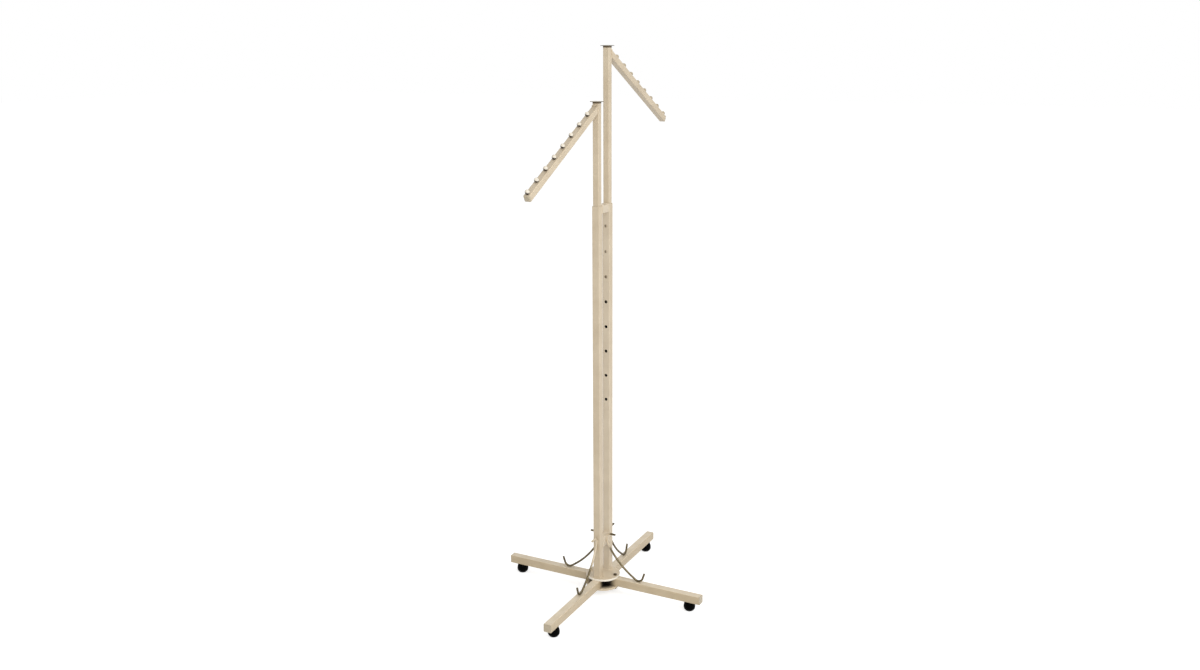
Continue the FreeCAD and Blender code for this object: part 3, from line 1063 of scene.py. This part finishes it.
def shade_on_cap_rim(tree):
    """1 on the rim of a cap, whose axis is its mast's, where painted shade darkens it."""
    x, y, _ = parts_of_place(tree)
    distance = distance_of(tree, x, off_tube_axis(tree, y))
    return band(tree, distance, cap_radius - cap_rim, cap_radius - cap_rim / 2)


cap_plastic = moulded_plastic(
    "cap_plastic",
    (tint(202, 194, 178), tint(210, 203, 188)),
    grain=1900.0,
    depth=0.05,
    roughness=0.44,
    dust=0.1,
    rim_shade=shade_on_cap_rim,
)
finish_nodes(cap_plastic, "mast_cap_rear", "mast_cap_front")
# Dark brown plastic for the band of painted shade under each cap.
shadow_band_plastic = moulded_plastic(
    "shadow_band_plastic",
    (tint(98, 84, 63), tint(112, 97, 75)),
    grain=1900.0,
    depth=0.05,
    roughness=0.5,
    dust=0.02,
    gloss=0.3,
)
shadow_band_height = 0.0045
shadow_band_proud = 0.0004
shadow_band_edge = 0.0003
shadow_band_sunk = 0.0003
mast_corner = 0.002


def shadow_band_mesh(mast):
    """A thin dark square band round a mast's top under its cap, painted shade below the cap's
    overhang, with its lower rim rounded off.
    """
    low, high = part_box("mast_" + mast)
    half, middle = high.x, (low.y + high.y) / 2
    steps = (
        (-shadow_band_sunk, high.z - shadow_band_height),
        (shadow_band_proud - shadow_band_edge, high.z - shadow_band_height),
        (shadow_band_proud, high.z - shadow_band_height + shadow_band_edge),
        (shadow_band_proud, high.z),
        (-shadow_band_sunk, high.z),
    )
    bm = bmesh.new()
    rings = []
    for proud, z in steps:
        loop = rounded_loop(half + proud, half + proud, mast_corner + proud)
        rings.append([bm.verts.new((x, middle + y, z)) for x, y in loop])
    for inner, outer in zip(rings, rings[1:] + rings[:1]):
        for k in range(len(inner)):
            bm.faces.new((inner[k - 1], inner[k], outer[k], outer[k - 1]))
    bmesh.ops.recalc_face_normals(bm, faces=bm.faces)
    return mesh_from(bm, "cap_skirt_" + mast, sharp=50)


for mast in MASTS:
    body = mast + "_mast"
    new_piece("cap_skirt_" + mast, shadow_band_mesh(mast), shadow_band_plastic, body, "black_plastic")


# Hanging arms
# Square steel tubes mitred against the masts' outer faces and welded all round. Hangers
# slide along them, so their upper faces are rubbed lengthwise, and those faces are darker
# in faint lengthwise streaks.
arm_slope = math.radians(28)
arm_drop = 0.0205
arm_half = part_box("arm_rear")[1].x
arm_mitre = arm_half / math.cos(arm_slope)
mast_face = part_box("mast_rear")[1].y
top_streak_stretch = (300.0, 12.0, 300.0)
top_streak_strength = (0.02, 0.26)
top_streak_slope = (0.7, 0.87)


def darker_top_streaks(turn):
    """Draws faint darker streaks along the upper face of an arm, turned level by an angle."""

    def mask(tree):
        along_arm = turned_about_x(tree, place_on_piece(tree), turn)
        darkening = spread(tree, streaked(tree, along_arm, top_streak_stretch, detail=3.0), *top_streak_strength)
        return product(tree, band(tree, facing_up(tree), *top_streak_slope), darkening)

    return mask


def arm_root(mast):
    """Where an arm's axis meets the outer face of its mast."""
    return Vector((0, MASTS[mast] * mast_face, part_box("mast_" + mast)[1].z - arm_drop))


for mast, far in MASTS.items():
    turn = far * arm_slope
    arm_finish = {"turn": turn, "rub": 0.5, "dust": 0.0, "darkening": darker_top_streaks(turn)}
    arm_paint = sand_paint("sand_paint_arm_" + mast, (ACROSS, ALONG, ACROSS), **arm_finish)
    finish_nodes(arm_paint, "arm_" + mast)
    root = arm_root(mast)
    loop = rounded_loop(arm_half, arm_mitre, tube_corner)
    bead = [(far * x, root.y + far * weld_lift, root.z + z) for x, z in loop]
    mesh = weld_mesh("arm_weld_" + mast, [(bead, True)], arm_paint)
    new_piece("arm_weld_" + mast, mesh, arm_paint, mast + "_mast", "beige_paint")


# Arm end plugs
# Plastic plugs with well rounded ends, pushed into the tips of the arms. They are moulded
# from the same plastic as the legs' plugs.
finish_nodes(sand_plastic, "arm_cap_rear", "arm_cap_front")


# Arm studs
# Half-inch balls welded along each arm's upper face, which keep hangers apart. The front ones
# are painted pale as a painted highlight and the rear ones darker as painted shade, and
# painted shade darkens them round their feet and on the sides that look left and away from
# the mast.
stud_count = 8
stud_radius = 0.00635
stud_seat_depth = 0.0006
stud_foot = 0.0045
stud_foot_height = 0.0009
stud_seat = 0.0003
stud_shade_low = 0.0030
stud_shade_high = 0.0062
stud_shade_lean = 0.45
stud_shade_aside = 0.4
# Front studs paler as a painted highlight, rear ones darker as painted shade.
stud_lit_and_shaded_tones = {
    "rear": (tint(162, 147, 120), tint(174, 159, 132)),
    "front": (tint(214, 205, 188), tint(222, 214, 199)),
}
stud_root_distance = 0.050
stud_tip_distance = 0.0065
arm_length = 0.436
stud_pitch = (arm_length - stud_root_distance - stud_tip_distance) / (stud_count - 1)


def stud_mesh(far):
    """One ball on the origin with a weld round its foot. Far is 1 or -1: the side of Y that
    looks away from the mast."""
    middle = stud_radius - stud_seat_depth
    start = math.degrees(math.asin((stud_foot_height - middle) / stud_radius))
    ball = arc_points(0, middle, stud_radius, start, 90, 18)
    foot = [(0, -stud_seat), (stud_foot, -stud_seat), (stud_foot, 0)]
    top = [(0, middle + stud_radius)]
    mesh = turned_mesh("stud", foot + ball[:-1] + top, steps=32, sharp=60)
    height = mesh.attributes.new("height_on_stud", "FLOAT", "POINT")
    places = [vertex.co for vertex in mesh.vertices]
    # Painted shade leans away from the mast and to the left.
    leaned = [p.z - stud_shade_lean * far * p.y + stud_shade_aside * p.x for p in places]
    height.data.foreach_set("value", leaned)
    return mesh


def shade_low_on_stud(tree):
    """1 round a ball's foot and low on its far side, where painted shade darkens it."""
    height = add(tree, "ShaderNodeAttribute", attribute_name="height_on_stud").outputs["Fac"]
    return inverse(tree, band(tree, height, stud_shade_low, stud_shade_high))


def stud_row_tree():
    """Copies of a stud in a straight row, all turned alike."""
    tree, given, out = new_group(
        "stud_row",
        "GeometryNodeTree",
        {
            "Stud": "NodeSocketObject",
            "Count": "NodeSocketInt",
            "Start": "NodeSocketVector",
            "Step": "NodeSocketVector",
            "Tilt": "NodeSocketFloat",
            "Finish": "NodeSocketMaterial",
        },
        {"Geometry": "NodeSocketGeometry"},
    )
    row = add(
        tree,
        "GeometryNodeMeshLine",
        {"Count": given["Count"], "Start Location": given["Start"], "Offset": given["Step"]},
    )
    tilt = add(tree, "FunctionNodeAxisAngleToRotation", {"Axis": (1, 0, 0), "Angle": given["Tilt"]})
    one = add(tree, "GeometryNodeObjectInfo", {"Object": given["Stud"]})
    studs = add(
        tree,
        "GeometryNodeInstanceOnPoints",
        {
            "Points": row.outputs[0],
            "Instance": one.outputs["Geometry"],
            "Rotation": tilt.outputs[0],
        },
    )
    end_tree(tree, studs.outputs[0], given["Finish"], out)
    return tree


stud_row = stud_row_tree()
stud_stretch = (ACROSS, ACROSS, ALONG)
stud_finish = {"rub": 0.2, "dust": 0.1, "darkening": shade_low_on_stud}
for mast, far in MASTS.items():
    along = Vector((0, far * math.cos(arm_slope), -math.sin(arm_slope)))
    up = Vector((0, far * math.sin(arm_slope), math.cos(arm_slope)))
    one_stud = bpy.data.objects.new("one_stud", stud_mesh(far))
    paint_name = "sand_paint_studs_" + mast
    stud_paint = sand_paint(paint_name, stud_stretch, shades=stud_lit_and_shaded_tones[mast], **stud_finish)
    inputs = {
        "Stud": one_stud,
        "Count": stud_count,
        "Start": arm_root(mast) + along * stud_root_distance + up * arm_half,
        "Step": along * stud_pitch,
        "Tilt": -far * arm_slope,
        "Finish": stud_paint,
    }
    mesh = grown_mesh("studs_" + mast, stud_row, inputs)
    body, node = mast + "_mast", "arm_studs_" + mast
    new_piece("studs_" + mast, mesh, stud_paint, body, "beige_paint", node)
    bpy.data.objects.remove(one_stud)


# Floor
# A plain white studio floor that keeps the soft shadow under the rack. It glows a little for
# the camera and for reflections only, so that it joins the white room.
floor_half = 30.0
floor_shade = (0.7, 0.7, 0.7, 1)
floor_glow = 0.6
white = (1, 1, 1, 1)
floor_mesh = bpy.data.meshes.new("floor")
quarters = ((-1, -1), (1, -1), (1, 1), (-1, 1))
corners = [(x * floor_half, y * floor_half, 0) for x, y in quarters]
floor_mesh.from_pydata(corners, [], [(0, 1, 2, 3)])
floor = bpy.data.objects.new("floor", floor_mesh)
scene.collection.objects.link(floor)


def seen_directly(tree):
    """1 for what the camera, a mirror or glass sees, and 0 for light on the object."""
    ray = add(tree, "ShaderNodeLightPath").outputs
    glossy = math_node(tree, "MAXIMUM", ray["Is Glossy Ray"], ray["Is Transmission Ray"])
    return math_node(tree, "MAXIMUM", ray["Is Camera Ray"], glossy)


def floor_white():
    material = bpy.data.materials.new("floor_white")
    material.use_nodes = True
    tree = material.node_tree
    tree.nodes.clear()
    pale = add(tree, "ShaderNodeBsdfDiffuse", {"Color": floor_shade})
    lift = product(tree, seen_directly(tree), floor_glow)
    glow = add(tree, "ShaderNodeEmission", {"Color": white, "Strength": lift})
    both = add(tree, "ShaderNodeAddShader", {0: pale.outputs[0], 1: glow.outputs[0]})
    add(tree, "ShaderNodeOutputMaterial", {"Surface": both.outputs[0]})
    return material


floor_mesh.materials.append(floor_white())


# Studio light
# A white room gives most of the light. Wide lamps beside the camera, to the right and
# overhead make the right and upper faces a little brighter than the front ones.
room_light = 0.62
room_seen = 1.0


def studio_room():
    world = bpy.data.worlds.new("studio_room")
    world.use_nodes = True
    tree = world.node_tree
    tree.nodes.clear()
    strength = spread(tree, seen_directly(tree), room_light, room_seen)
    room = add(tree, "ShaderNodeBackground", {"Color": white, "Strength": strength})
    add(tree, "ShaderNodeOutputWorld", {"Surface": room.outputs[0]})
    return world


scene.world = studio_room()
rack_middle = (cad_box[0] + cad_box[1]) / 2


def lamp(name, place, size, power):
    """A round soft lamp that looks at the middle of the rack."""
    light = bpy.data.lights.new(name, "AREA")
    light.shape = "DISK"
    light.size = size
    light.energy = power
    made = bpy.data.objects.new(name, light)
    scene.collection.objects.link(made)
    made.location = place
    made.rotation_euler = (rack_middle - Vector(place)).to_track_quat("-Z", "Y").to_euler()


lamp("front_lamp", (2.1, -3.6, 2.3), size=2.0, power=64.0)
lamp("right_lamp", (4.0, -0.8, 2.9), size=2.0, power=62.0)
lamp("top_lamp", (2.0, -0.6, 8.5), size=3.0, power=60.0)


# Camera
# It stands to the right of the front leg at the height of the taller mast's cap and looks
# down a little, as in the photograph of 1200 by 670 pixels.
photo_width = 1200
focal_length_pixels = 1136.921
camera_place = (1.47898, -2.9442, 1.68)
camera_heading = math.radians(26.812)
camera_down = math.radians(14.399)
camera_roll = math.radians(-0.151)
camera_data = bpy.data.cameras.new("camera")
camera_data.sensor_width = 36.0
camera_data.lens = camera_data.sensor_width * focal_length_pixels / photo_width
camera = bpy.data.objects.new("camera", camera_data)
scene.collection.objects.link(camera)
aim = Matrix.Rotation(camera_heading, 4, "Z") @ Matrix.Rotation(math.pi / 2 - camera_down, 4, "X")
camera.matrix_world = Matrix.Translation(camera_place) @ aim @ Matrix.Rotation(camera_roll, 4, "Z")
scene.camera = camera
scene.view_settings.view_transform = "Standard"
